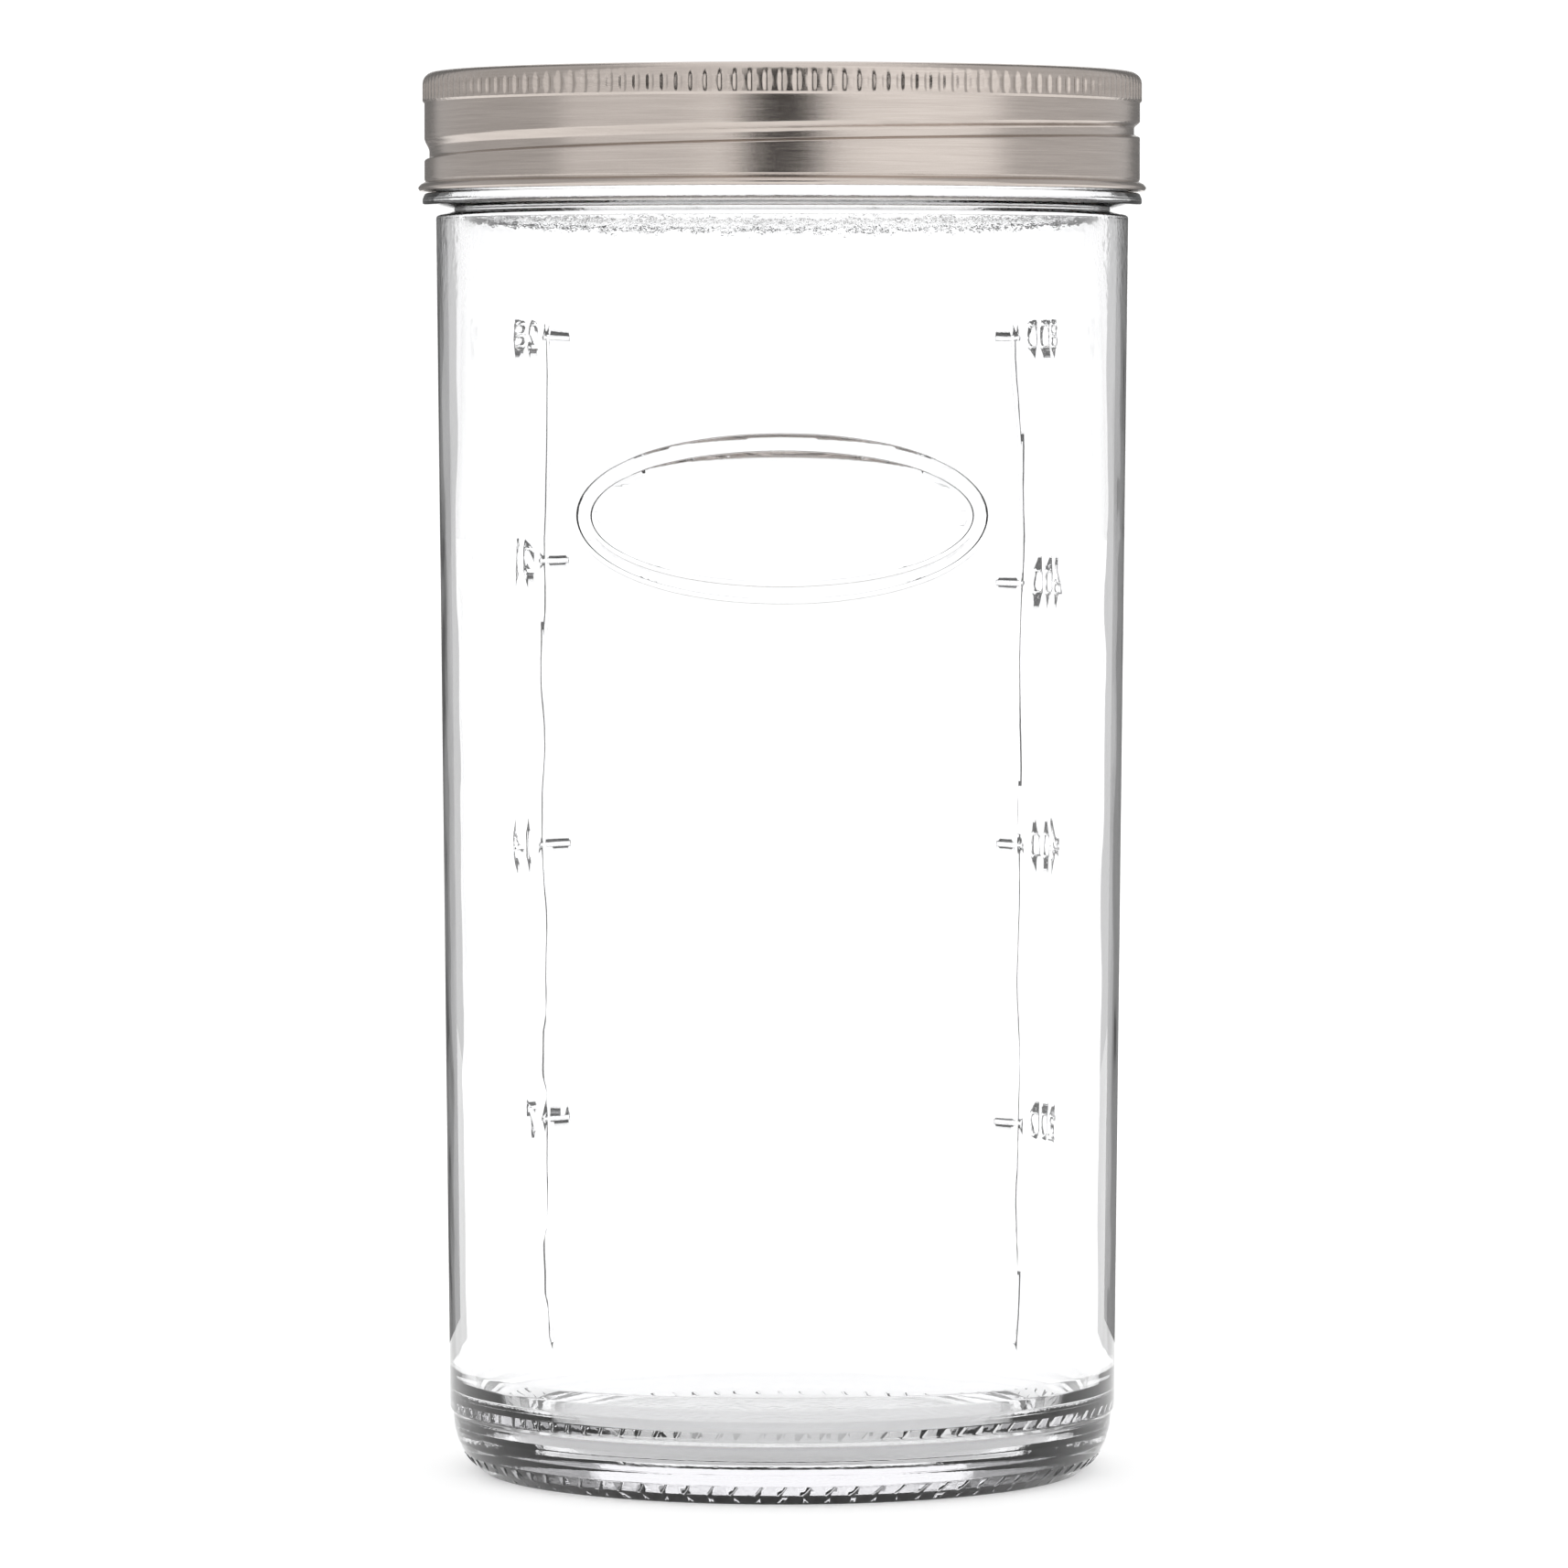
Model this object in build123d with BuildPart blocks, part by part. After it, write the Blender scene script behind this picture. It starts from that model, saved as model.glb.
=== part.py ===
from build123d import *
from math import cos, pi, radians, sin, sqrt
import os

os.makedirs("parts", exist_ok=True)

# A tall glass jar closed by a two-part screw lid. Millimetres, +Z up, with the origin at the
# centre of the ring that the jar stands on. The front of the jar faces -Y.

# Glass body: straight sided, with a slight draft towards the foot
jar_height = 184.9
body_radius = 46.1
body_draft = 1.6
glass_wall = 2.9
base_glass = 5.2
inner_heel_radius = 9.0

# Heel, from the foot of the body down to the ring that the jar stands on
heel_height = 8.0
heel_inset = 4.0
heel_step = 0.45
heel_step_rise = 0.6
bearing_width = 2.6
push_up = 2.4
push_up_slope = 8.0

# Transfer bead under the cap, and the notch between it and the body's shoulder
shoulder_drop = 0.6
notch_depth = 2.4
notch_width = 0.25
bead_underside = 0.55
bead_height = 1.55
bead_reach = 0.3
bead_edge = 0.5
bead_taper = 0.3
bead_taper_height = 0.9
throat_height = 5.0
throat_depth = 2.5

# Threaded finish and sealing rim, inside the cap. The finish is as wide as the body.
finish_height = 14.5
finish_wall = 3.7
rim_outer_bevel = 1.0
rim_inner_bevel = 0.8

# Screw thread: one right-hand start. A ridge stands on the glass, and a bead is rolled into the
# band, so that the bead pulls up against the ridge's underside.
thread_lead = 6.35
ridge_height = 0.9
ridge_root_width = 2.6
ridge_crest_width = 1.2
ridge_sink = 0.3
thread_play = 0.3
root_play = 0.4
flank_play = 0.15
groove_width = 2.3
groove_floor_width = 1.6
ridge_first_angle = -376.0
ridge_last_angle = 74.0
groove_first_angle = -200.0
groove_last_angle = 110.0
groove_drop_at_front = 7.5
front_angle = -90.0
fade_angle = 28.0
path_step_angle = 7.0

# Screw band: thin steel with a flat flange, a fluted shoulder and a turned-out lower edge
band_sheet = 0.3
flange_width = 6.3
knurl_reach = 0.25
knurl_height = 3.85
knurl_bevel = 0.25
shoulder_bevel = 1.0
flute_pitch = 1.93
flute_width = 1.1
flute_depth = 0.3
flute_margin = 0.1
crease_height = 1.25
crease_depth = 0.15
crease_rise = 0.35
curl_reach = 0.9
curl_tip_height = 0.4
curl_crown_reach = 0.5
curl_crown_height = 0.85
curl_underside = 0.35
hem_gap = 0.3

# Lid disc and the sealing ring bonded under it
disc_sheet = 0.3
disc_play = 0.3
panel_drop = 1.0
panel_margin = 3.0
panel_slope = 1.0
ring_thickness = 0.9
ring_inner_play = 0.2
ring_outer_set_in = 0.5
lid_play = 0.1

# Heights worked out from the sizes above
rim_z = jar_height
bead_top_z = rim_z - finish_height
bead_low_z = bead_top_z - bead_height
notch_high_z = bead_low_z - bead_underside
notch_low_z = notch_high_z - notch_width
shoulder_z = notch_low_z - shoulder_drop
throat_top_z = shoulder_z - throat_depth
throat_low_z = throat_top_z - throat_height
ring_top_z = rim_z + ring_thickness
disc_top_z = ring_top_z + disc_sheet
flange_low_z = disc_top_z + lid_play
band_top_z = flange_low_z + band_sheet
band_low_z = bead_top_z + hem_gap
knurl_low_z = band_top_z - knurl_height
crease_z = band_low_z + crease_height

# Radii worked out from the sizes above
foot_radius = body_radius - body_draft
heel_top_radius = foot_radius - heel_step
bearing_outer_radius = heel_top_radius - heel_inset
bearing_inner_radius = bearing_outer_radius - bearing_width
push_up_radius = bearing_inner_radius - push_up_slope
notch_radius = body_radius - notch_depth
inner_top_radius = body_radius - glass_wall
inner_foot_radius = foot_radius - glass_wall
finish_radius = body_radius
mouth_radius = finish_radius - finish_wall
ridge_crest_radius = finish_radius + ridge_height
band_inner_radius = ridge_crest_radius + thread_play
band_outer_radius = band_inner_radius + band_sheet
band_bead_radius = finish_radius + root_play
thread_depth = band_inner_radius - band_bead_radius
knurl_radius = band_outer_radius + knurl_reach
curl_radius = band_outer_radius + curl_reach
flange_hole_radius = knurl_radius - flange_width
glass_bead_radius = band_outer_radius + bead_reach
disc_radius = band_bead_radius - disc_play
panel_radius = mouth_radius - panel_margin
channel_radius = panel_radius + panel_slope
shoulder_start_radius = disc_radius + lid_play
inner_shoulder = band_inner_radius - shoulder_start_radius
ring_inner_radius = mouth_radius + ring_inner_play
ring_outer_radius = finish_radius - ring_outer_set_in

# The band's inner bead is the groove's shape with the sheet's thickness laid on its flanks. The
# ridge on the glass stands above it, flank against flank.
flank_slope = (groove_width - groove_floor_width) / 2 / thread_depth
flank_sheet = band_sheet * (sqrt(1 + flank_slope**2) - flank_slope)
bead_crest_width = groove_floor_width + 2 * flank_sheet
bead_root_width = groove_width + 2 * flank_sheet
ridge_taper = (ridge_root_width - ridge_crest_width) / ridge_height
ridge_width_at_bead = ridge_root_width - ridge_taper * root_play
ridge_offset = (bead_crest_width + ridge_width_at_bead) / 2 + flank_play


def thread_height(angle, offset):
    """Height of the thread at an angle about the axis, offset from the groove in the band."""
    turns = (angle - front_angle) / 360
    return rim_z - groove_drop_at_front + offset + thread_lead * turns


def thread_path(first, last, radius, fade, offset):
    """Points along one thread, which fades in and out by moving its path sideways."""
    count = round((last - first) / path_step_angle)
    points = []
    for i in range(count + 1):
        angle = first + (last - first) * i / count
        from_end = min(angle - first, last - angle)
        share = min(from_end / fade_angle, 1)
        here = radius + fade * (1 + cos(pi * share)) / 2
        x = here * cos(radians(angle))
        y = here * sin(radians(angle))
        points.append((x, y, thread_height(angle, offset)))
    return points


def section_plane(point):
    """Upright plane through the axis and a point, with its local X pointing outwards."""
    outward = Vector(point[0], point[1], 0).normalized()
    return Plane(origin=point, x_dir=outward, z_dir=outward.cross(Vector(0, 0, 1)))


def corner(section, radius, height):
    """The corner of a half section that is nearest to a radius and a height."""
    return section.vertices().sort_by_distance((radius, height))[0]


# The ridge on the glass, on a path along the finish's wall. It fades by sinking into the glass.
ridge_points = thread_path(
    ridge_first_angle,
    ridge_last_angle,
    finish_radius,
    -(ridge_height + ridge_sink),
    ridge_offset,
)
with BuildPart() as ridge:
    with BuildLine() as ridge_line:
        Spline(*ridge_points)
    with BuildSketch(section_plane(ridge_points[0])):
        with BuildLine():
            Polyline(
                (-ridge_sink, -ridge_root_width / 2),
                (0, -ridge_root_width / 2),
                (ridge_height, -ridge_crest_width / 2),
                (ridge_height, ridge_crest_width / 2),
                (0, ridge_root_width / 2),
                (-ridge_sink, ridge_root_width / 2),
                close=True,
            )
        make_face()
    sweep(path=ridge_line.line, is_frenet=True)

# The inside of the heel, drawn as three slopes on its arc
inner_heel = []
for turned in (0, 30, 60, 90):
    out = inner_heel_radius * (1 - cos(radians(turned)))
    down = inner_heel_radius * sin(radians(turned))
    inner_heel.append((inner_foot_radius - out, base_glass + inner_heel_radius - down))

# The glass jar: its half section is revolved, and the ridge is added on the finish
with BuildPart() as glass_jar:
    with BuildSketch(Plane.XZ) as jar_section:
        with BuildLine():
            base = Polyline(
                (0, push_up),
                (push_up_radius, push_up),
                (bearing_inner_radius, 0),
                (bearing_outer_radius, 0),
            )
            heel = TangentArc((heel_top_radius, heel_height), base @ 1, tangent=(0, -1))
            wall = Polyline(
                heel @ 0,
                (foot_radius, heel_height + heel_step_rise),
                (body_radius, shoulder_z),
                (notch_radius, notch_low_z),
                (notch_radius, notch_high_z),
                (glass_bead_radius - bead_edge, bead_low_z),
                (glass_bead_radius, bead_low_z + bead_edge),
                (glass_bead_radius, bead_top_z - bead_taper_height),
                (glass_bead_radius - bead_taper, bead_top_z),
                (finish_radius, bead_top_z),
                (finish_radius, rim_z),
                (mouth_radius, rim_z),
                (mouth_radius, throat_top_z),
                (inner_top_radius, throat_low_z),
                *inner_heel,
            )
            Polyline(wall @ 1, (0, base_glass), base @ 0)
        make_face()
        chamfer(corner(jar_section, finish_radius, rim_z), rim_outer_bevel)
        chamfer(corner(jar_section, mouth_radius, rim_z), rim_inner_bevel)
    revolve(axis=Axis.Z)
    add(ridge.part)
glass_jar.part.label = "glass_jar"
export_step(glass_jar.part, "parts/glass_jar.step")

# The band's thread, a bead that stands in towards the glass. It fades by moving out into the
# sheet, and it is trimmed in the middle of the sheet.
bead_points = thread_path(
    groove_first_angle,
    groove_last_angle,
    band_inner_radius,
    thread_depth + band_sheet,
    0,
)
with BuildPart() as band_bead:
    with BuildLine() as bead_line:
        Spline(*bead_points)
    with BuildSketch(section_plane(bead_points[0])):
        with BuildLine():
            Polyline(
                (-thread_depth, -bead_crest_width / 2),
                (-thread_depth, bead_crest_width / 2),
                (0, bead_root_width / 2),
                (band_sheet, bead_root_width / 2),
                (band_sheet, -bead_root_width / 2),
                (0, -bead_root_width / 2),
                close=True,
            )
        make_face()
    sweep(path=bead_line.line, is_frenet=True)
    with BuildSketch(Plane.XY.offset(band_low_z)):
        Circle(band_inner_radius + band_sheet / 2)
    extrude(amount=band_top_z - band_low_z, mode=Mode.INTERSECT)

# The groove that the thread leaves outside, as a cutter that also clears the fluted shoulder
groove_points = thread_path(
    groove_first_angle,
    groove_last_angle,
    band_outer_radius,
    thread_depth + band_sheet,
    0,
)
groove_mouth_width = groove_width + 2 * flank_slope * knurl_reach
with BuildPart() as groove:
    with BuildLine() as groove_line:
        Spline(*groove_points)
    with BuildSketch(section_plane(groove_points[0])):
        with BuildLine():
            Polyline(
                (-thread_depth, -groove_floor_width / 2),
                (-thread_depth, groove_floor_width / 2),
                (knurl_reach, groove_mouth_width / 2),
                (knurl_reach, -groove_mouth_width / 2),
                close=True,
            )
        make_face()
    sweep(path=groove_line.line, is_frenet=True)

# One flute of the shoulder, a V-shaped notch that is as deep outside the wall as within it. It
# ends short of the shoulder's bevel and of the knurl's lower edge.
flute_count = round(2 * pi * knurl_radius / flute_pitch)
with BuildPart() as flute:
    with BuildSketch(Plane.XY.offset(knurl_low_z + flute_margin)):
        with BuildLine():
            Polyline(
                (-flute_depth, 0),
                (flute_depth, -flute_width),
                (flute_depth, flute_width),
                close=True,
            )
        make_face()
    extrude(amount=knurl_height - shoulder_bevel - 2 * flute_margin)

# The screw band: its section is revolved, its thread is rolled in, and its flutes are cut round
# the shoulder
with BuildPart() as screw_band:
    with BuildSketch(Plane.XZ):
        with BuildLine():
            Polyline(
                (flange_hole_radius, band_top_z),
                (knurl_radius - shoulder_bevel, band_top_z),
                (knurl_radius, band_top_z - shoulder_bevel),
                (knurl_radius, knurl_low_z),
                (band_outer_radius, knurl_low_z - knurl_bevel),
                (band_outer_radius, crease_z + crease_rise),
                (band_outer_radius - crease_depth, crease_z),
                (band_outer_radius + curl_crown_reach, band_low_z + curl_crown_height),
                (curl_radius, band_low_z + curl_tip_height),
                (curl_radius - curl_underside, band_low_z),
                (band_inner_radius, band_low_z),
                (band_inner_radius - crease_depth, crease_z),
                (band_inner_radius, crease_z + crease_rise),
                (band_inner_radius, flange_low_z - inner_shoulder),
                (shoulder_start_radius, flange_low_z),
                (flange_hole_radius, flange_low_z),
                close=True,
            )
        make_face()
    revolve(axis=Axis.Z)
    add(band_bead.part)
    add(groove.part, mode=Mode.SUBTRACT)
    with PolarLocations(knurl_radius, flute_count):
        add(flute.part, mode=Mode.SUBTRACT)
screw_band.part.label = "screw_band"
export_step(screw_band.part, "parts/screw_band.step")

# The lid disc: one sheet of steel, pressed with a raised channel that lies over the rim
with BuildPart() as lid_disc:
    with BuildSketch(Plane.XZ):
        with BuildLine():
            Polyline(
                (0, disc_top_z - panel_drop),
                (panel_radius, disc_top_z - panel_drop),
                (channel_radius, disc_top_z),
                (disc_radius, disc_top_z),
                (disc_radius, ring_top_z),
                (channel_radius, ring_top_z),
                (panel_radius, ring_top_z - panel_drop),
                (0, ring_top_z - panel_drop),
                close=True,
            )
        make_face()
    revolve(axis=Axis.Z)
lid_disc.part.label = "lid_disc"
export_step(lid_disc.part, "parts/lid_disc.step")

# The sealing ring, bonded under the disc's channel, which lies on the glass rim
with BuildPart() as sealing_ring:
    with BuildSketch(Plane.XY.offset(rim_z)):
        Circle(ring_outer_radius)
        Circle(ring_inner_radius, mode=Mode.SUBTRACT)
    extrude(amount=ring_thickness)
sealing_ring.part.label = "sealing_ring"
export_step(sealing_ring.part, "parts/sealing_ring.step")
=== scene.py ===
"""A tall, straight-sided glass jar closed by a two-part screw lid: a steel disc with a sealing
ring under it, and a steel screw band that holds it down. Metres, +Z up, with the front at -Y."""
from math import ceil, cos, pi, radians, sin, tan, tau

import bmesh
import bpy
from mathutils import Matrix, Vector


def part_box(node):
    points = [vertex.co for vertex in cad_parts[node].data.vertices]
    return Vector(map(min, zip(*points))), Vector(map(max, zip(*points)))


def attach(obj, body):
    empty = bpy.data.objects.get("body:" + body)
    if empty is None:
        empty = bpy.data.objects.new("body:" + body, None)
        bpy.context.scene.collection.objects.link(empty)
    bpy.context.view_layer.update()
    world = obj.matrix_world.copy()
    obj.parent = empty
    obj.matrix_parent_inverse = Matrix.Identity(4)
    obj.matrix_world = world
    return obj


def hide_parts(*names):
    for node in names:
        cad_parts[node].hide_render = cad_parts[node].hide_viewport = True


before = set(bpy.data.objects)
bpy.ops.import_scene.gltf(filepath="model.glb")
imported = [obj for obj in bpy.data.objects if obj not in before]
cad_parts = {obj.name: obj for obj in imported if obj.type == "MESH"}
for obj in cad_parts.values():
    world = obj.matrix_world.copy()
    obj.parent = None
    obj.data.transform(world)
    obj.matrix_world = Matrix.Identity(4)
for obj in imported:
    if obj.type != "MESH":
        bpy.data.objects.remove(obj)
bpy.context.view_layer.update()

# The glass jar: one piece of clear soda-lime glass, pressed at the mouth and blown into a mould,
# so its outside is true and its inner wall waves a little. It stands on a narrow ring, and a
# notch parts the body from the bead under the cap.
mm = 0.001
glass_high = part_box("glass_jar")[1]
rim_z = glass_high.z
bead_radius = glass_high.x
body_radius = 46.1 * mm
foot_radius = 44.5 * mm
heel_top_radius = 44.05 * mm
stand_outer_radius = 40.05 * mm
stand_inner_radius = 37.45 * mm
stand_lift = 0.03 * mm
push_up_radius = 29.45 * mm
push_up = 2.4 * mm
heel_corner_z = 3.0 * mm
heel_round = 9.2 * mm
heel_top_z = 8.0 * mm
foot_z = 8.6 * mm
shoulder_z = 167.45 * mm
notch_radius = 43.7 * mm
notch_low_z = 168.05 * mm
notch_high_z = 168.3 * mm
bead_low_z = 168.85 * mm
bead_full_z = 169.6 * mm
bead_top_z = 170.4 * mm
finish_radius = 46.1 * mm
mouth_radius = 42.4 * mm
inner_top_radius = 43.2 * mm
inner_foot_radius = 41.6 * mm
inner_base_z = 5.2 * mm
inner_heel_round = 9.0 * mm
throat_low_z = 125.0 * mm
inner_wave = 0.05 * mm
wave_begins_z = (12 * mm, 25 * mm)
wave_ends_z = (150 * mm, 162 * mm)
jar_columns = 288
glass_index = 1.5
ripple_height = 0.03 * mm
chill_height = 0.016 * mm
heel_chill_ends_z = (2 * mm, 12 * mm)
neck_chill_begins_z = (150 * mm, 164 * mm)


def half_section(*corners, closed=False, arc_step=radians(11), longest_run=3 * mm):
    """Points (radius, 0, height) of a half section. A corner is (radius, height, round), and its
    round is drawn as an arc. Long straight runs are divided, with a point near each end."""
    points = []
    for i, (radius, height, bend) in enumerate(corners):
        here = Vector((radius, height))
        if not bend or not closed and i in (0, len(corners) - 1):
            points.append(here)
            continue
        back = (Vector(corners[i - 1][:2]) - here).normalized()
        ahead = (Vector(corners[(i + 1) % len(corners)][:2]) - here).normalized()
        turn = pi - back.angle(ahead)
        centre = here + (back + ahead).normalized() * bend / cos(turn / 2)
        first = here + back * bend * tan(turn / 2) - centre
        last = here + ahead * bend * tan(turn / 2) - centre
        side = 1 if first.x * last.y - first.y * last.x > 0 else -1
        steps = max(2, ceil(turn / arc_step))
        for k in range(steps + 1):
            points.append(centre + Matrix.Rotation(side * turn * k / steps, 2) @ first)
    divided = []
    for here, there in zip(points, points[1:] + points[:1]):
        divided.append(here)
        run = (there - here).length
        if run < 1 * mm or not closed and there is points[0]:
            continue
        guard = 0.15 * mm
        parts = ceil((run - 2 * guard) / longest_run)
        divided += [here.lerp(there, (guard + (run - 2 * guard) * k / parts) / run) for k in range(parts + 1)]
    return [(p.x, 0, p.y) for p in divided]


class Rule:
    """A number in a node tree, so that a shape or a finish can be written as plain arithmetic."""

    def __init__(self, tree, socket):
        self.tree = tree
        self.socket = socket

    def math(self, operation, *others, clamp=False):
        return number(self.tree, operation, self, *others, clamp=clamp)

    def __add__(self, other):
        return self.math("ADD", other)

    def __radd__(self, other):
        return self.math("ADD", other)

    def __sub__(self, other):
        return self.math("SUBTRACT", other)

    def __rsub__(self, other):
        return number(self.tree, "SUBTRACT", other, self)

    def __mul__(self, other):
        return self.math("MULTIPLY", other)

    def __rmul__(self, other):
        return self.math("MULTIPLY", other)

    def __truediv__(self, other):
        return self.math("DIVIDE", other)

    def share(self, start, end):
        """0 before start, 1 after end, and a straight rise between them."""
        return number(self.tree, "DIVIDE", self - start, end - start, clamp=True)

    def eased(self, start, end):
        """0 before start, 1 after end, and a soft rise between them."""
        share = self.share(start, end)
        return share * share * (3 - 2 * share)


def feed(tree, value, socket):
    """Links a rule or an output to a socket, or sets a plain value on it."""
    source = value.socket if isinstance(value, Rule) else value
    if isinstance(source, bpy.types.NodeSocket):
        tree.links.new(source, socket)
    else:
        socket.default_value = source


def number(tree, operation, *values, clamp=False):
    node = tree.nodes.new("ShaderNodeMath")
    node.operation = operation
    node.use_clamp = clamp
    for value, socket in zip(values, node.inputs):
        feed(tree, value, socket)
    return Rule(tree, node.outputs[0])


def add_node(tree, kind, inputs=None, **settings):
    """A node with its settings, and with a value or a link on each named input."""
    node = tree.nodes.new(kind)
    for setting, value in settings.items():
        setattr(node, setting, value)
    for name, value in (inputs or {}).items():
        feed(tree, value, node.inputs[name])
    return node


def vector(tree, x, y, z):
    return add_node(tree, "ShaderNodeCombineXYZ", {"X": x, "Y": y, "Z": z}).outputs[0]


def position_rules(tree):
    """X, Y and Z of the place that a geometry node or a material works on."""
    if tree.bl_idname == "GeometryNodeTree":
        place = add_node(tree, "GeometryNodeInputPosition").outputs[0]
    else:
        place = add_node(tree, "ShaderNodeTexCoord").outputs["Object"]
    parts = add_node(tree, "ShaderNodeSeparateXYZ", {"Vector": place})
    return [Rule(tree, socket) for socket in parts.outputs]


def shape_tree(name, sizes):
    """A Geometry Nodes tree with a named input for each size, and rules for those inputs."""
    tree = bpy.data.node_groups.new(name, "GeometryNodeTree")
    tree.interface.new_socket("Points", in_out="INPUT", socket_type="NodeSocketGeometry")
    tree.interface.new_socket("Shape", in_out="OUTPUT", socket_type="NodeSocketGeometry")
    for size, value in sizes.items():
        kind = "NodeSocketInt" if isinstance(value, int) else "NodeSocketFloat"
        tree.interface.new_socket(size, in_out="INPUT", socket_type=kind)
    source = tree.nodes.new("NodeGroupInput")
    return tree, source.outputs["Points"], {size: Rule(tree, source.outputs[size]) for size in sizes}


def end_tree(tree, shape, material):
    """Closes a tree: seams merged, faces smooth, instances made real and the material set."""
    shape = add_node(tree, "GeometryNodeRealizeInstances", {"Geometry": shape}).outputs[0]
    shape = add_node(tree, "GeometryNodeMergeByDistance", {"Geometry": shape, "Distance": 0.5e-6}).outputs[0]
    shape = add_node(tree, "GeometryNodeSetShadeSmooth", {"Geometry": shape}).outputs[0]
    shape = add_node(tree, "GeometryNodeSetMaterial", {"Geometry": shape, "Material": material}).outputs[0]
    tree.links.new(shape, tree.nodes.new("NodeGroupOutput").inputs["Shape"])


def shaped(name, source, tree, sizes):
    """Runs a tree with its sizes on an object, and returns what it makes as a plain mesh object."""
    modifier = source.modifiers.new("Shape", "NODES")
    modifier.node_group = tree
    for socket in tree.interface.items_tree:
        if socket.in_out == "INPUT" and socket.name in sizes:
            modifier[socket.identifier] = sizes[socket.name]
    return plain_mesh(name, source)


def grown(name, tree, sizes, points, edges=()):
    """Runs a tree on points and edges, and returns what it makes as a plain mesh object."""
    start = bpy.data.meshes.new(name)
    start.from_pydata(points, edges, [])
    shaper = bpy.data.objects.new(name + "_shaper", start)
    bpy.context.scene.collection.objects.link(shaper)
    return shaped(name, shaper, tree, sizes)


def plain_mesh(name, source):
    """The evaluated mesh of an object as a new object, its faces pointing outwards."""
    graph = bpy.context.evaluated_depsgraph_get()
    graph.update()
    mesh = bpy.data.meshes.new_from_object(source.evaluated_get(graph), depsgraph=graph)
    bpy.data.objects.remove(source)
    loose = bmesh.new()
    loose.from_mesh(mesh)
    bmesh.ops.recalc_face_normals(loose, faces=loose.faces)
    loose.to_mesh(mesh)
    loose.free()
    mesh.name = name
    piece = bpy.data.objects.new(name, mesh)
    bpy.context.scene.collection.objects.link(piece)
    return piece


def section_grid(tree, section, section_points, rows, columns):
    """A grid with a column for each step about the axis and a row for each point of a section:
    its mesh, and the radius, height and column number of each of its vertices."""
    grid = add_node(
        tree, "GeometryNodeMeshGrid",
        {"Size X": 1.0, "Size Y": 1.0, "Vertices X": columns + 1, "Vertices Y": rows},
    )
    index = Rule(tree, add_node(tree, "GeometryNodeInputIndex").outputs[0])
    column = (index / rows).math("FLOOR")
    row = (index - column * rows).math("FLOORED_MODULO", section_points)
    sampled = add_node(tree, "GeometryNodeSampleIndex", data_type="FLOAT_VECTOR")
    tree.links.new(section, sampled.inputs["Geometry"])
    tree.links.new(add_node(tree, "GeometryNodeInputPosition").outputs[0], sampled.inputs["Value"])
    feed(tree, row, sampled.inputs["Index"])
    parts = add_node(tree, "ShaderNodeSeparateXYZ", {"Vector": sampled.outputs[0]}).outputs
    return grid.outputs["Mesh"], Rule(tree, parts["X"]), Rule(tree, parts["Z"]), column


def placed(tree, mesh, radius, angle, height):
    """Sets each vertex at a radius, an angle about the axis and a height."""
    place = vector(tree, radius * angle.math("COSINE"), radius * angle.math("SINE"), height)
    return add_node(tree, "GeometryNodeSetPosition", {"Geometry": mesh, "Position": place}).outputs[0]


def noise(tree, place, scale, detail=2.0, roughness=0.5):
    inputs = {"Vector": place, "Scale": scale, "Detail": detail, "Roughness": roughness}
    return Rule(tree, add_node(tree, "ShaderNodeTexNoise", inputs).outputs["Fac"])


def new_material(name):
    """A material with its tree and its one shader, which the caller sets."""
    material = bpy.data.materials.new(name)
    material.use_nodes = True
    return material, material.node_tree, material.node_tree.nodes["Principled BSDF"]


def bumped(tree, height, distance):
    """A normal that the height tilts: a height of 1 stands as far out as the distance."""
    inputs = {"Height": height, "Distance": distance, "Strength": 1.0}
    return add_node(tree, "ShaderNodeBump", inputs).outputs[0]


# Clear glass with the long ripples of a blown wall, and the fine chill marks that the mould
# leaves near the neck and the heel.
glass, glass_nodes, glass_shader = new_material("clear_jar_glass")
glass_shader.inputs["Base Color"].default_value = (0.985, 0.987, 0.99, 1)
glass_shader.inputs["Transmission Weight"].default_value = 1.0
glass_shader.inputs["IOR"].default_value = glass_index
x, y, z = position_rules(glass_nodes)
ripples = noise(glass_nodes, vector(glass_nodes, x, y, z * 0.25), 110.0)
chill = noise(glass_nodes, vector(glass_nodes, x, y, z), 900.0, detail=3.0)
near_neck = z.eased(*neck_chill_begins_z)
near_heel = 1 - z.eased(*heel_chill_ends_z)
surface = ripples * (ripple_height / mm) + chill * (near_neck + near_heel) * (chill_height / mm)
feed(glass_nodes, bumped(glass_nodes, surface, 1 * mm), glass_shader.inputs["Normal"])
feed(glass_nodes, chill * 0.012, glass_shader.inputs["Roughness"])
depth_tint = {"Color": (0.80, 0.79, 0.83, 1), "Density": 9.0}
tint = add_node(glass_nodes, "ShaderNodeVolumeAbsorption", depth_tint)
glass_nodes.links.new(tint.outputs[0], glass_nodes.nodes["Material Output"].inputs["Volume"])

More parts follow.
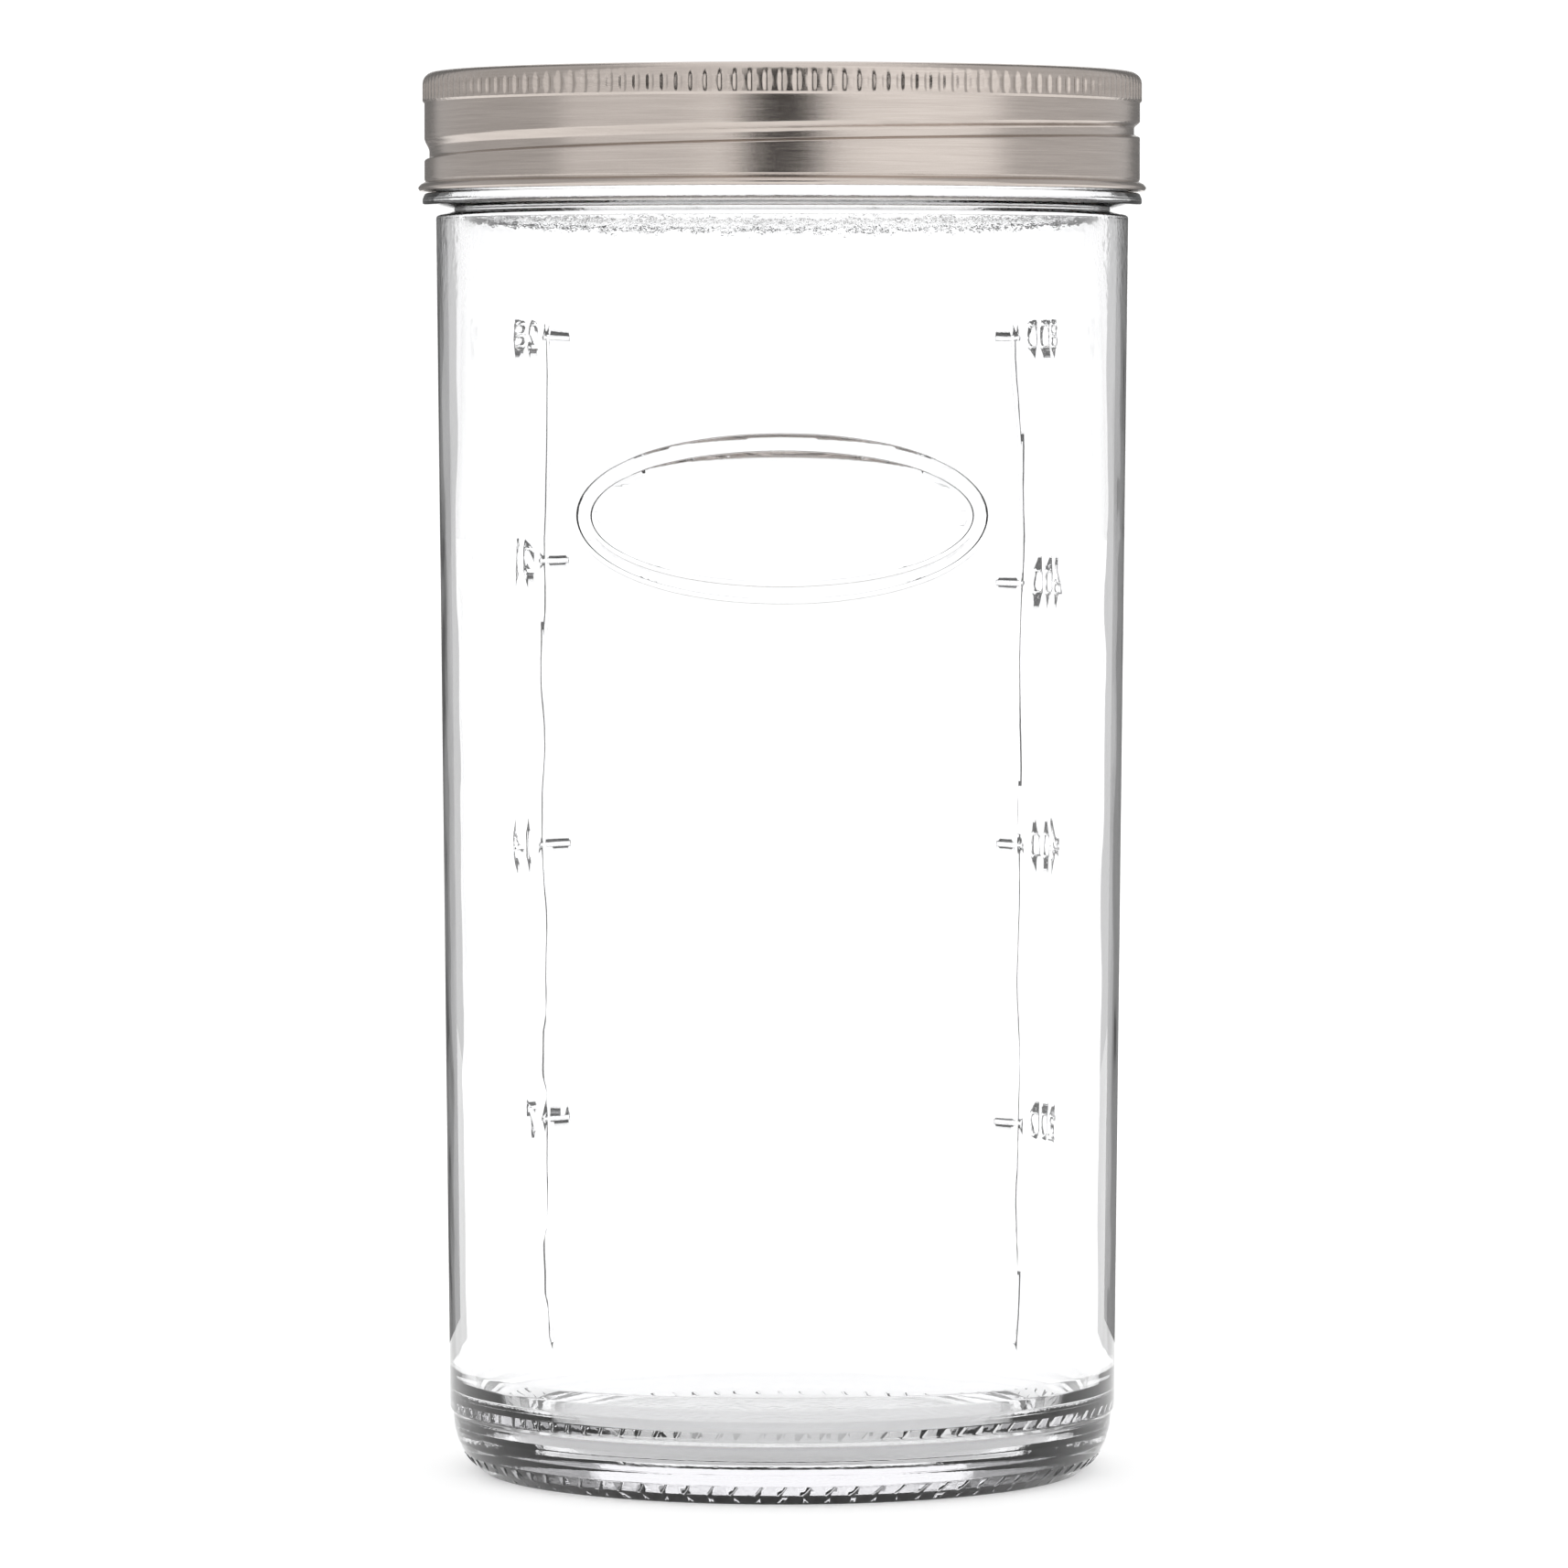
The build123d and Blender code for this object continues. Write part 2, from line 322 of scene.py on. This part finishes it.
jar_sizes = {"Columns": jar_columns, "Section Points": 0, "Inner Wave": inner_wave}
jar_section = half_section(
    (0, push_up, 0),
    (push_up_radius, push_up, 12 * mm),
    (stand_inner_radius, stand_lift, 1.2 * mm),
    (stand_outer_radius, stand_lift, 1.0 * mm),
    (heel_top_radius, heel_corner_z, heel_round),
    (heel_top_radius, heel_top_z, 0.4 * mm),
    (foot_radius, foot_z, 0.6 * mm),
    (body_radius, shoulder_z, 0.45 * mm),
    (notch_radius, notch_low_z, 0.1 * mm),
    (notch_radius, notch_high_z, 0.1 * mm),
    (bead_radius, bead_low_z, 0.45 * mm),
    (bead_radius, bead_full_z, 0.9 * mm),
    (bead_radius - 0.3 * mm, bead_top_z, 0.3 * mm),
    (finish_radius, bead_top_z, 0.3 * mm),
    (finish_radius, rim_z, 1.2 * mm),
    (mouth_radius, rim_z, 1.0 * mm),
    (mouth_radius, bead_low_z, 3 * mm),
    (inner_top_radius, throat_low_z, 30 * mm),
    (inner_foot_radius, inner_base_z, inner_heel_round),
    (0, inner_base_z, 0),
)
jar_sizes["Section Points"] = len(jar_section)
tree, section, size = shape_tree("turned_jar", jar_sizes)
mesh, radius, height, column = section_grid(
    tree, section, size["Section Points"], size["Section Points"], size["Columns"]
)
angle = column / size["Columns"] * tau
waves_round = 4.2
waves_up = 60
around = vector(
    tree, angle.math("COSINE") * waves_round, angle.math("SINE") * waves_round, height * waves_up
)
inside = height.share(*wave_begins_z) * (1 - height.share(*wave_ends_z))
inner_skin = 1 - radius.share(inner_top_radius, inner_top_radius + 0.1 * mm)
wave = (noise(tree, around, 1.0) - 0.5) * 2 * size["Inner Wave"] * inside * inner_skin
end_tree(tree, placed(tree, mesh, radius + wave, angle, height), glass)
jar = grown("jar_glass", tree, jar_sizes, jar_section)

# The jar's screw thread: one raised ridge, moulded with the glass on the finish above the bead.
# It rises to the right, and it sinks into the glass at both ends.
lead = 6.35 * mm
front = radians(-90)
back = radians(90)
groove_z_at_front = rim_z - 7.5 * mm
ridge_above_groove = 2.135 * mm
thread_sizes = {
    "Columns": 300,
    "Section Points": 0,
    "First Angle": radians(-376),
    "Last Angle": radians(74),
    "Fade Angle": radians(28),
    "Sink": 1.25 * mm,
}
ridge_section = half_section(
    (-0.3 * mm, -1.3 * mm, 0),
    (0, -1.3 * mm, 0),
    (0.85 * mm, -0.6 * mm, 0.25 * mm),
    (0.85 * mm, 0.6 * mm, 0.25 * mm),
    (0, 1.3 * mm, 0),
    (-0.3 * mm, 1.3 * mm, 0),
    closed=True,
)
thread_sizes["Section Points"] = len(ridge_section)
tree, section, size = shape_tree("glass_thread", thread_sizes)
mesh, out, up, column = section_grid(
    tree, section, size["Section Points"], size["Section Points"] + 1, size["Columns"]
)
angle = size["First Angle"] + column / size["Columns"] * (size["Last Angle"] - size["First Angle"])
from_end = number(tree, "MINIMUM", angle - size["First Angle"], size["Last Angle"] - angle)
full = from_end.eased(0.0, size["Fade Angle"])
open_end = from_end.share(0.0, 0.001)
ridge_z = groove_z_at_front + ridge_above_groove + (angle - front) * (lead / tau) + up * open_end
ridge_radius = finish_radius + out * open_end - size["Sink"] * (1 - full)
end_tree(tree, placed(tree, mesh, ridge_radius, angle, ridge_z), glass)
thread = grown("glass_thread", tree, thread_sizes, ridge_section)

# Marks moulded on the outside of the wall: a blank oval panel in front, and behind it two fill
# lines with their ticks and plain numbers. A mark is a round-topped ridge, drawn flat as
# (distance round the wall, height) and laid on the wall by the tree.
mark_sizes = {"Ridge Radius": 0.34 * mm, "Rise": 0.04 * mm, "Wander": 0.0, "Facing": front}


def laid_on_wall(tree, geometry, facing, rise):
    """Lays flat geometry on the jar's wall: X runs round it, Z up it, and Y into the glass."""
    x, y, z = position_rules(tree)
    wall = foot_radius + (z - foot_z) * ((body_radius - foot_radius) / (shoulder_z - foot_z))
    return placed(tree, geometry, wall + rise - y, facing + x / wall, z)


tree, drawing, size = shape_tree("moulded_marks", mark_sizes)
line = add_node(tree, "GeometryNodeMeshToCurve", {"Mesh": drawing}).outputs[0]
x, y, z = position_rules(tree)
drift = noise(tree, vector(tree, x * 8, 0.0, z), 45.0, detail=1.0) - 0.5
shake = vector(tree, drift * size["Wander"], 0.0, 0.0)
line = add_node(tree, "GeometryNodeSetPosition", {"Geometry": line, "Offset": shake}).outputs[0]
ring = add_node(tree, "GeometryNodeCurvePrimitiveCircle", {"Resolution": 10, "Radius": size["Ridge Radius"]})
x, y, z = position_rules(tree)
unevenness = 0.85 + 0.4 * noise(tree, vector(tree, x, 0.0, z), 260.0)
rod = add_node(
    tree, "GeometryNodeCurveToMesh",
    {"Curve": line, "Profile Curve": ring.outputs[0], "Scale": unevenness, "Fill Caps": True},
).outputs[0]
end_tree(tree, laid_on_wall(tree, rod, size["Facing"], size["Rise"]), glass)


def stroke(start, end, steps):
    """Points along one straight stroke, drawn flat."""
    start = Vector((start[0], 0, start[1]))
    end = Vector((end[0], 0, end[1]))
    return [start.lerp(end, k / steps) for k in range(steps + 1)]


def drawing_of(strokes, closed=False):
    """All the strokes as one list of points and one of edges."""
    points = [point for line in strokes for point in line]
    edges = []
    first = 0
    for line in strokes:
        edges += [(first + k, first + k + 1) for k in range(len(line) - 1)]
        if closed:
            edges.append((first + len(line) - 1, first))
        first += len(line)
    return points, edges


panel_z = 128.2 * mm
panel_half_width = 28.5 * mm
panel_half_height = 10.9 * mm
line_gap = 2.2 * mm
oval_turns = [tau * k / 120 for k in range(120)]
ovals = []
for inset in (0, line_gap):
    wide = panel_half_width - inset
    high = panel_half_height - inset
    ovals.append([Vector((wide * cos(a), 0, panel_z + high * sin(a))) for a in oval_turns])
panel = grown("panel_marks", tree, mark_sizes, *drawing_of(ovals, closed=True))

# The two scales are a little out of step with each other, and their lines wander, as on any
# hand-cut mould. Seen from the front, side 1 is on the left.
line_reach = 38.5 * mm
line_top_z = 152.8 * mm
line_low_z = 13.5 * mm
tick_length = 4.6 * mm
tick_overlap = 1.2 * mm
line_steps = 90
tick_steps = 8
tick_heights = {
    -1: (152.4 * mm, 117.7 * mm, 81.9 * mm, 43.8 * mm),
    1: (152.4 * mm, 120.7 * mm, 82.0 * mm, 44.4 * mm),
}
back_sizes = dict(mark_sizes, Facing=back, Wander=3.6 * mm)
fill_lines = []
ticks = []
for side in (-1, 1):
    top = (side * line_reach, line_top_z)
    fill_lines.append(stroke(top, (side * line_reach, line_low_z), line_steps))
    for tick_z in tick_heights[side]:
        start = (side * (line_reach + tick_overlap), tick_z)
        ticks.append(stroke(start, (side * (line_reach - tick_length), tick_z), tick_steps))
lines = grown("fill_lines", tree, back_sizes, *drawing_of(fill_lines))
level_ticks = grown("level_ticks", tree, dict(mark_sizes, Facing=back), *drawing_of(ticks))

digit_height = 3.8 * mm
digit_depth = 0.5 * mm
digit_gap = 2.6 * mm
font_size_for_height = 1.4
plate_sizes = {"Rise": 0.12 * mm, "Facing": back}
tree, flat_digits, size = shape_tree("moulded_numbers", plate_sizes)
end_tree(tree, laid_on_wall(tree, flat_digits, size["Facing"], size["Rise"]), glass)
numbers = []
for side, labels in ((-1, ("800", "600", "400", "200")), (1, ("28", "21", "14", "7"))):
    for label, tick_z in zip(labels, tick_heights[side]):
        text = bpy.data.curves.new("number_" + label, "FONT")
        text.body = label
        text.size = digit_height * font_size_for_height
        text.extrude = digit_depth / 2
        text.align_x = "RIGHT" if side < 0 else "LEFT"
        text.align_y = "CENTER"
        letters = plain_mesh("number_" + label, bpy.data.objects.new("number", text))
        shape = bmesh.new()
        shape.from_mesh(letters.data)
        bmesh.ops.remove_doubles(shape, verts=shape.verts, dist=1e-6)
        shape.transform(Matrix.Rotation(radians(90), 4, "X"))
        shape.transform(Matrix.Translation((side * (line_reach + digit_gap), 0, tick_z)))
        shape.to_mesh(letters.data)
        shape.free()
        numbers.append(shaped("number_" + label, letters, tree, plate_sizes))

# The stand's grip: short slanted ridges round the heel, and small ones at the edge of the ring
# that the jar stands on.
grip_sizes = {"Ridges": 84, "Ridge Radius": 0.15 * mm}
tree, path, size = shape_tree("stand_grip", grip_sizes)
ring = add_node(tree, "GeometryNodeCurvePrimitiveCircle", {"Resolution": 6, "Radius": size["Ridge Radius"]})
path = add_node(tree, "GeometryNodeMeshToCurve", {"Mesh": path}).outputs[0]
one = add_node(
    tree, "GeometryNodeCurveToMesh", {"Curve": path, "Profile Curve": ring.outputs[0], "Fill Caps": True}
).outputs[0]
places = add_node(tree, "GeometryNodePoints", {"Count": size["Ridges"]}).outputs[0]
index = Rule(tree, add_node(tree, "GeometryNodeInputIndex").outputs[0])
ridge_angle = vector(tree, 0.0, 0.0, index / size["Ridges"] * tau)
turn = add_node(tree, "FunctionNodeEulerToRotation", {"Euler": ridge_angle})
ridges = add_node(
    tree, "GeometryNodeInstanceOnPoints",
    {"Points": places, "Instance": one, "Rotation": turn.outputs[0]},
).outputs[0]
end_tree(tree, ridges, glass)
heel_stroke = [
    Vector((41.5 * mm, -0.5 * mm, 1.4 * mm)),
    Vector((42.0 * mm, 0, 1.92 * mm)),
    Vector((42.5 * mm, 0.5 * mm, 2.55 * mm)),
]
stand_stroke = [Vector((39.4 * mm, 0, 0.17 * mm)), Vector((40.5 * mm, 0, 0.5 * mm))]
grip = grown("stand_grip", tree, grip_sizes, *drawing_of([heel_stroke, stand_stroke]))

# The moulded marks and the thread are one glass with the jar.
for mark in (thread, panel, lines, level_ticks, grip, *numbers):
    union = jar.modifiers.new("Union", "BOOLEAN")
    union.operation = "UNION"
    union.solver = "MANIFOLD"
    union.object = mark
    jar = plain_mesh("jar_glass", jar)
    bpy.data.objects.remove(mark)
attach(jar, "jar")
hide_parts("glass_jar")

# The sealing ring: a soft white compound, moulded flat and bonded under the lid disc's channel,
# where the glass rim presses a faint track in it.
seal_low, seal_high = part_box("sealing_ring")
seal_inner_radius = 42.6 * mm
seal_columns = 192
seal, seal_nodes, seal_shader = new_material("seal_compound")
x, y, z = position_rules(seal_nodes)
speckle = noise(seal_nodes, vector(seal_nodes, x, y, z), 2600.0, detail=4.0)
cloud = noise(seal_nodes, vector(seal_nodes, x, y, z), 160.0)
tone = add_node(seal_nodes, "ShaderNodeMix", {0: speckle * 0.6 + cloud * 0.4}, data_type="RGBA")
tone.inputs[6].default_value = (0.66, 0.62, 0.55, 1)
tone.inputs[7].default_value = (0.86, 0.83, 0.78, 1)
feed(seal_nodes, tone.outputs[2], seal_shader.inputs["Base Color"])
feed(seal_nodes, 0.48 + speckle * 0.2, seal_shader.inputs["Roughness"])
feed(seal_nodes, bumped(seal_nodes, speckle + cloud, 0.03 * mm), seal_shader.inputs["Normal"])
seal_shader.inputs["Subsurface Weight"].default_value = 0.15
seal_shader.inputs["Subsurface Scale"].default_value = 0.5 * mm


def turned(name, section, columns, material, closed):
    """A half section turned about the axis. A closed one ends at its own first point."""
    sizes = {"Columns": columns, "Section Points": len(section)}
    tree, points, size = shape_tree(name, sizes)
    section_points = size["Section Points"]
    rows = section_points + 1 if closed else section_points
    mesh, radius, height, column = section_grid(tree, points, section_points, rows, size["Columns"])
    end_tree(tree, placed(tree, mesh, radius, column / size["Columns"] * tau, height), material)
    return grown(name, tree, sizes, section)


track_depth = 0.06 * mm
track_outer_radius = 44.9 * mm
track_inner_radius = 43.1 * mm
ring = turned(
    "seal_ring",
    half_section(
        (seal_high.x, seal_high.z, 0.1 * mm),
        (seal_high.x, seal_low.z, 0.25 * mm),
        (track_outer_radius, seal_low.z, 0),
        (track_outer_radius - 0.4 * mm, seal_low.z + track_depth, 0.4 * mm),
        (track_inner_radius + 0.3 * mm, seal_low.z + track_depth, 0.4 * mm),
        (track_inner_radius, seal_low.z, 0),
        (seal_inner_radius, seal_low.z, 0.25 * mm),
        (seal_inner_radius, seal_high.z, 0.1 * mm),
        closed=True,
    ),
    seal_columns,
    seal,
    closed=True,
)
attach(ring, "lid")
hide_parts("sealing_ring")

# The lid disc: one sheet of tinned steel, pressed with a panel that sits lower than the channel
# over the rim. It lies loose under the band's flange, and it is brushed round its axis.
disc_low, disc_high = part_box("lid_disc")
sheet = 0.3 * mm
panel_radius = 39.4 * mm
channel_radius = 40.4 * mm
panel_drop = 1.0 * mm
disc_columns = 240


def brushed_steel(name, light, dark, roughness):
    """Steel brushed round the axis: fine streaks in tone, gloss and relief, some broader bands,
    and a little clouding from handling."""
    material, tree, shader = new_material(name)
    x, y, z = position_rules(tree)
    radius = (x * x + y * y).math("SQRT")
    across = (radius - z) * 1000
    round_x = x / radius
    round_y = y / radius
    fine = noise(tree, vector(tree, round_x * 5, round_y * 5, across * 9), 1.0, detail=3.0, roughness=0.6)
    broad = noise(tree, vector(tree, round_x * 2, round_y * 2, across * 1.6), 1.0)
    cloud = noise(tree, vector(tree, x, y, z), 70.0, detail=3.0)
    streaks = fine * 0.55 + broad * 0.3 + cloud * 0.15
    tone = add_node(tree, "ShaderNodeMix", {0: streaks.share(0.25, 0.75)}, data_type="RGBA")
    tone.inputs[6].default_value = (*dark, 1)
    tone.inputs[7].default_value = (*light, 1)
    feed(tree, tone.outputs[2], shader.inputs["Base Color"])
    shader.inputs["Metallic"].default_value = 1.0
    feed(tree, roughness + (fine - 0.5) * 0.16 + (cloud - 0.5) * 0.08, shader.inputs["Roughness"])
    shader.inputs["Anisotropic"].default_value = 0.55
    tangent = add_node(tree, "ShaderNodeTangent", direction_type="RADIAL", axis="Z")
    feed(tree, tangent.outputs[0], shader.inputs["Tangent"])
    feed(tree, bumped(tree, fine + broad * 0.5, 0.012 * mm), shader.inputs["Normal"])
    return material


lid_steel = brushed_steel(
    "polished_lid_steel", light=(0.74, 0.72, 0.70), dark=(0.58, 0.56, 0.54), roughness=0.2
)
disc_section = half_section(
    (0, disc_high.z - panel_drop, 0),
    (panel_radius, disc_high.z - panel_drop, 0.7 * mm),
    (channel_radius, disc_high.z, 0.7 * mm),
    (disc_high.x, disc_high.z, 0.14 * mm),
    (disc_high.x, disc_high.z - sheet, 0.14 * mm),
    (channel_radius, disc_high.z - sheet, 0.5 * mm),
    (panel_radius, disc_low.z, 0.7 * mm),
    (0, disc_low.z, 0),
)
disc = turned("pressed_lid_disc", disc_section, disc_columns, lid_steel, closed=False)
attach(disc, "lid")
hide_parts("lid_disc")

# The screw band: sheet steel drawn to a ring with a flat flange. Its thread is rolled in as a
# groove, its shoulder is pressed with oval flutes for grip, and its lower edge is turned out
# under a crease.
band_low, band_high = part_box("screw_band")
wall_outer = 47.6 * mm
wall_inner = 47.3 * mm
knurl_radius = 47.85 * mm
flange_hole = 41.55 * mm
knurl_low = 182.65 * mm
wall_top = 182.35 * mm
wall_low = 172.45 * mm
crease_z = 171.95 * mm
shoulder_round = 1.6 * mm
band_sizes = {
    "Section Points": 0,
    "Flutes": 156,
    "Columns Per Flute": 7,
    "Flute Half Width": 0.56 * mm,
    "Flute Half Height": 1.46 * mm,
    "Flute Middle": 184.0 * mm,
    "Flute Depth": 0.24 * mm,
    "Groove Depth": 0.78 * mm,
    "Groove First Angle": radians(-200),
    "Groove Sweep": radians(310),
    "Groove Fade": radians(28),
}
groove_rest_z = groove_z_at_front
groove_below = 1.2 * mm
groove_above = 1.9 * mm
# Rows of points up the wall stand closer where the sheet bends: heights in millimetres, those of
# the groove from its middle. In the section the groove lies at one height, and the tree then
# moves its rows along the thread.
groove_rows = [-1.2, -1.05, -0.95, -0.85, -0.7, -0.4, 0, 0.2, 0.5, 0.8, 1.1, 1.4, 1.7, 1.9]
flute_rows = [182.85, 183.05, 183.3, 183.6, 183.9, 184.2, 184.5, 184.75]
band_section = half_section(
    (flange_hole, band_high.z, 0.1 * mm),
    (knurl_radius, band_high.z, shoulder_round),
    *[(knurl_radius, z * mm, 0) for z in reversed(flute_rows)],
    (knurl_radius, knurl_low, 0.08 * mm),
    (wall_outer, wall_top, 0.1 * mm),
    *[(wall_outer, groove_rest_z + s * mm, 0) for s in reversed(groove_rows)],
    (wall_outer, wall_low, 0),
    (wall_outer, crease_z + 0.3 * mm, 0.15 * mm),
    (wall_outer - 0.15 * mm, crease_z, 0.12 * mm),
    (wall_outer + 0.5 * mm, band_low.z + 0.9 * mm, 0.5 * mm),
    (band_high.x, band_low.z + 0.42 * mm, 0.28 * mm),
    (band_high.x - 0.3 * mm, band_low.z, 0.2 * mm),
    (wall_inner, band_low.z, 0.1 * mm),
    (wall_inner, wall_low, 0),
    *[(wall_inner, groove_rest_z + s * mm, 0) for s in groove_rows[::2] + groove_rows[-1:]],
    (wall_inner, wall_top, 0),
    (wall_inner, band_high.z - sheet, 1.1 * mm),
    (flange_hole, band_high.z - sheet, 0.1 * mm),
    closed=True,
    arc_step=radians(18),
)
band_sizes["Section Points"] = len(band_section)
tree, section, size = shape_tree("rolled_band", band_sizes)
band_columns = size["Flutes"] * size["Columns Per Flute"]
mesh, radius, height, column = section_grid(
    tree, section, size["Section Points"], size["Section Points"] + 1, band_columns
)
# Columns crowd towards the edges of each flute, where the sheet bends most: the widths are in
# millimetres.
middle_column = 3
column_width = 0.3117
crowding = 0.01167
flute = (column / size["Columns Per Flute"]).math("FLOOR")
step = column - flute * size["Columns Per Flute"] - middle_column
from_middle = step * (column_width - crowding * step * step) * mm
angle = flute / size["Flutes"] * tau + from_middle / knurl_radius
# The rows of the wall follow the thread round, and slide back to its start over the gap.
along = (angle - size["Groove First Angle"]).math("FLOORED_MODULO", tau)
back_share = (tau - along) / (tau - size["Groove Sweep"])
path = number(tree, "MINIMUM", along, back_share * size["Groove Sweep"])
past_front = path + size["Groove First Angle"] - front
groove_z = groove_z_at_front + past_front * (lead / tau)
# Above the groove the wall comes back out over a reach that shrinks as the groove climbs to the
# shoulder: its millimetres at the front, and those that it loses in a quarter turn.
reach_at_front = 1.45
reach_lost = 0.45
least_reach = 0.8 * mm
soft_reach = (reach_at_front - reach_lost * past_front / radians(90)) * mm
upper_reach = number(tree, "MAXIMUM", soft_reach, least_reach)
threaded_z = (
    number(tree, "MINIMUM", height, wall_low)
    + height.share(wall_low, groove_rest_z - groove_below) * (groove_z - groove_below - wall_low)
    + height.share(groove_rest_z - groove_below, groove_rest_z) * groove_below
    + height.share(groove_rest_z, groove_rest_z + groove_above) * upper_reach
    + height.share(groove_rest_z + groove_above, wall_top) * (wall_top - groove_z - upper_reach)
    + number(tree, "MAXIMUM", height - wall_top, 0.0)
)
groove_lip = -1.15 * mm
groove_floor_low = -0.7 * mm
groove_floor_high = 0.15 * mm
from_groove = height - groove_rest_z
end_share = number(tree, "MINIMUM", along, size["Groove Sweep"] - along)
groove = (
    from_groove.eased(groove_lip, groove_floor_low)
    * (1 - from_groove.eased(groove_floor_high, groove_above))
    * end_share.eased(0.0, size["Groove Fade"])
    * size["Groove Depth"]
)
# Each flute is an oval dent, curved across its width and steep at its two ends.
across = from_middle / size["Flute Half Width"]
up = (height - size["Flute Middle"]) / size["Flute Half Height"]
dent = number(tree, "MAXIMUM", 1 - across * across - up * up * up * up, 0.0)
outer_skin = radius.share(wall_inner, wall_outer)
flute_dent = dent * outer_skin * size["Flute Depth"]
band_steel = brushed_steel(
    "brushed_band_steel", light=(0.64, 0.575, 0.53), dark=(0.44, 0.39, 0.355), roughness=0.2
)
end_tree(tree, placed(tree, mesh, radius - groove - flute_dent, angle, threaded_z), band_steel)
band = grown("screw_band_shell", tree, band_sizes, band_section)
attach(band, "band")
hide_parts("screw_band")

# The studio: a plain white table and bright plain surroundings, with grey cards out of view that
# draw the edges of the glass and steel. The photograph's width, focal length and the column of the
# jar's axis are in its own pixels.
camera_distance = 1203.5 * mm
camera_height = 148.44 * mm
camera_pitch = 0.0471
photo_width = 1714
photo_focal = 9859
sensor_width = 36.0
axis_column = 855
camera_data = bpy.data.cameras.new("camera")
camera_data.sensor_width = sensor_width
camera_data.lens = photo_focal / photo_width * sensor_width
camera_data.shift_x = (photo_width / 2 - axis_column) / photo_width
camera = bpy.data.objects.new("camera", camera_data)
camera.location = (0, -camera_distance, camera_height)
camera.rotation_euler = (radians(90) - camera_pitch, 0, 0)
bpy.context.scene.collection.objects.link(camera)
bpy.context.scene.camera = camera

floor_half = 6.0
table_glow = 0.22
surroundings_glow = 1.14
floor_mesh = bpy.data.meshes.new("table")
corners = [(x * floor_half, y * floor_half, 0) for x, y in ((-1, -1), (1, -1), (1, 1), (-1, 1))]
floor_mesh.from_pydata(corners, [], [(0, 1, 2, 3)])
floor = bpy.data.objects.new("table", floor_mesh)
bpy.context.scene.collection.objects.link(floor)
paper, _, paper_shader = new_material("white_table")
paper_shader.inputs["Base Color"].default_value = (0.93, 0.93, 0.93, 1)
paper_shader.inputs["Roughness"].default_value = 0.9
paper_shader.inputs["Emission Color"].default_value = (1, 1, 1, 1)
paper_shader.inputs["Emission Strength"].default_value = table_glow
floor_mesh.materials.append(paper)


def card(name, start, end, high, glow, seen_by):
    """An upright card between two places in plan, which the camera doesn't see, and which lets
    through what has crossed the glass more than twice, so that it only shades the wall's edge."""
    mesh = bpy.data.meshes.new(name)
    mesh.from_pydata([(*start, 0), (*end, 0), (*end, high), (*start, high)], [], [(0, 1, 2, 3)])
    material, nodes, shader = new_material(name)
    nodes.nodes.remove(shader)
    crossings = Rule(nodes, nodes.nodes.new("ShaderNodeLightPath").outputs["Transmission Depth"])
    tone = add_node(nodes, "ShaderNodeEmission", {"Color": (1, 1, 1, 1), "Strength": glow}).outputs[0]
    clear = nodes.nodes.new("ShaderNodeBsdfTransparent").outputs[0]
    past_wall = crossings.math("GREATER_THAN", 2.5)
    seen = add_node(nodes, "ShaderNodeMixShader", {0: past_wall, 1: tone, 2: clear})
    nodes.links.new(seen.outputs[0], nodes.nodes["Material Output"].inputs["Surface"])
    mesh.materials.append(material)
    board = bpy.data.objects.new(name, mesh)
    bpy.context.scene.collection.objects.link(board)
    board.visible_camera = False
    board.visible_diffuse = False
    board.visible_shadow = False
    board.visible_glossy = seen_by == "reflections"
    board.visible_transmission = seen_by == "glass"


# Low cards close behind the jar draw the grey edge of its wall and the dark line along its outline.
# Tall ones at the sides and in front give the steel its broad grey and bright parts, and a black
# one on the camera's side darkens the middle of the band. The photo is brighter on the right.
low_card = 0.5
card_y = 0.12
rim_card_y = 0.15
side_card_x = 0.45
for side, side_glow, lobe_glow in ((-1, 0.60, 0.95), (1, 0.68, 1.25)):
    card(
        f"wall_card_{side}", (side * 0.028, card_y), (side * 0.085, card_y),
        high=low_card, glow=0.36, seen_by="glass",
    )
    card(
        f"inner_card_{side}", (side * 0.085, card_y), (side * 0.13, card_y),
        high=low_card, glow=0.65, seen_by="glass",
    )
    card(
        f"rim_card_{side}", (side * 0.067, rim_card_y), (side * 0.145, rim_card_y),
        high=low_card, glow=0.2, seen_by="reflections",
    )
    card(
        f"side_card_{side}", (side * side_card_x, -0.16), (side * side_card_x, 1.0),
        high=1.4, glow=side_glow, seen_by="reflections",
    )
    card(
        f"front_card_{side}", (side * 0.19, -0.42), (side * 0.42, -0.17),
        high=1.2, glow=lobe_glow, seen_by="reflections",
    )
card("camera_side_card", (-0.12, -0.6), (0.12, -0.6), high=1.0, glow=0.0, seen_by="reflections")

world = bpy.data.worlds.new("studio")
world.use_nodes = True
bpy.context.scene.world = world
backdrop = world.node_tree.nodes["Background"]
backdrop.inputs["Color"].default_value = (1, 1, 1, 1)
backdrop.inputs["Strength"].default_value = surroundings_glow
bpy.context.scene.view_settings.view_transform = "Standard"
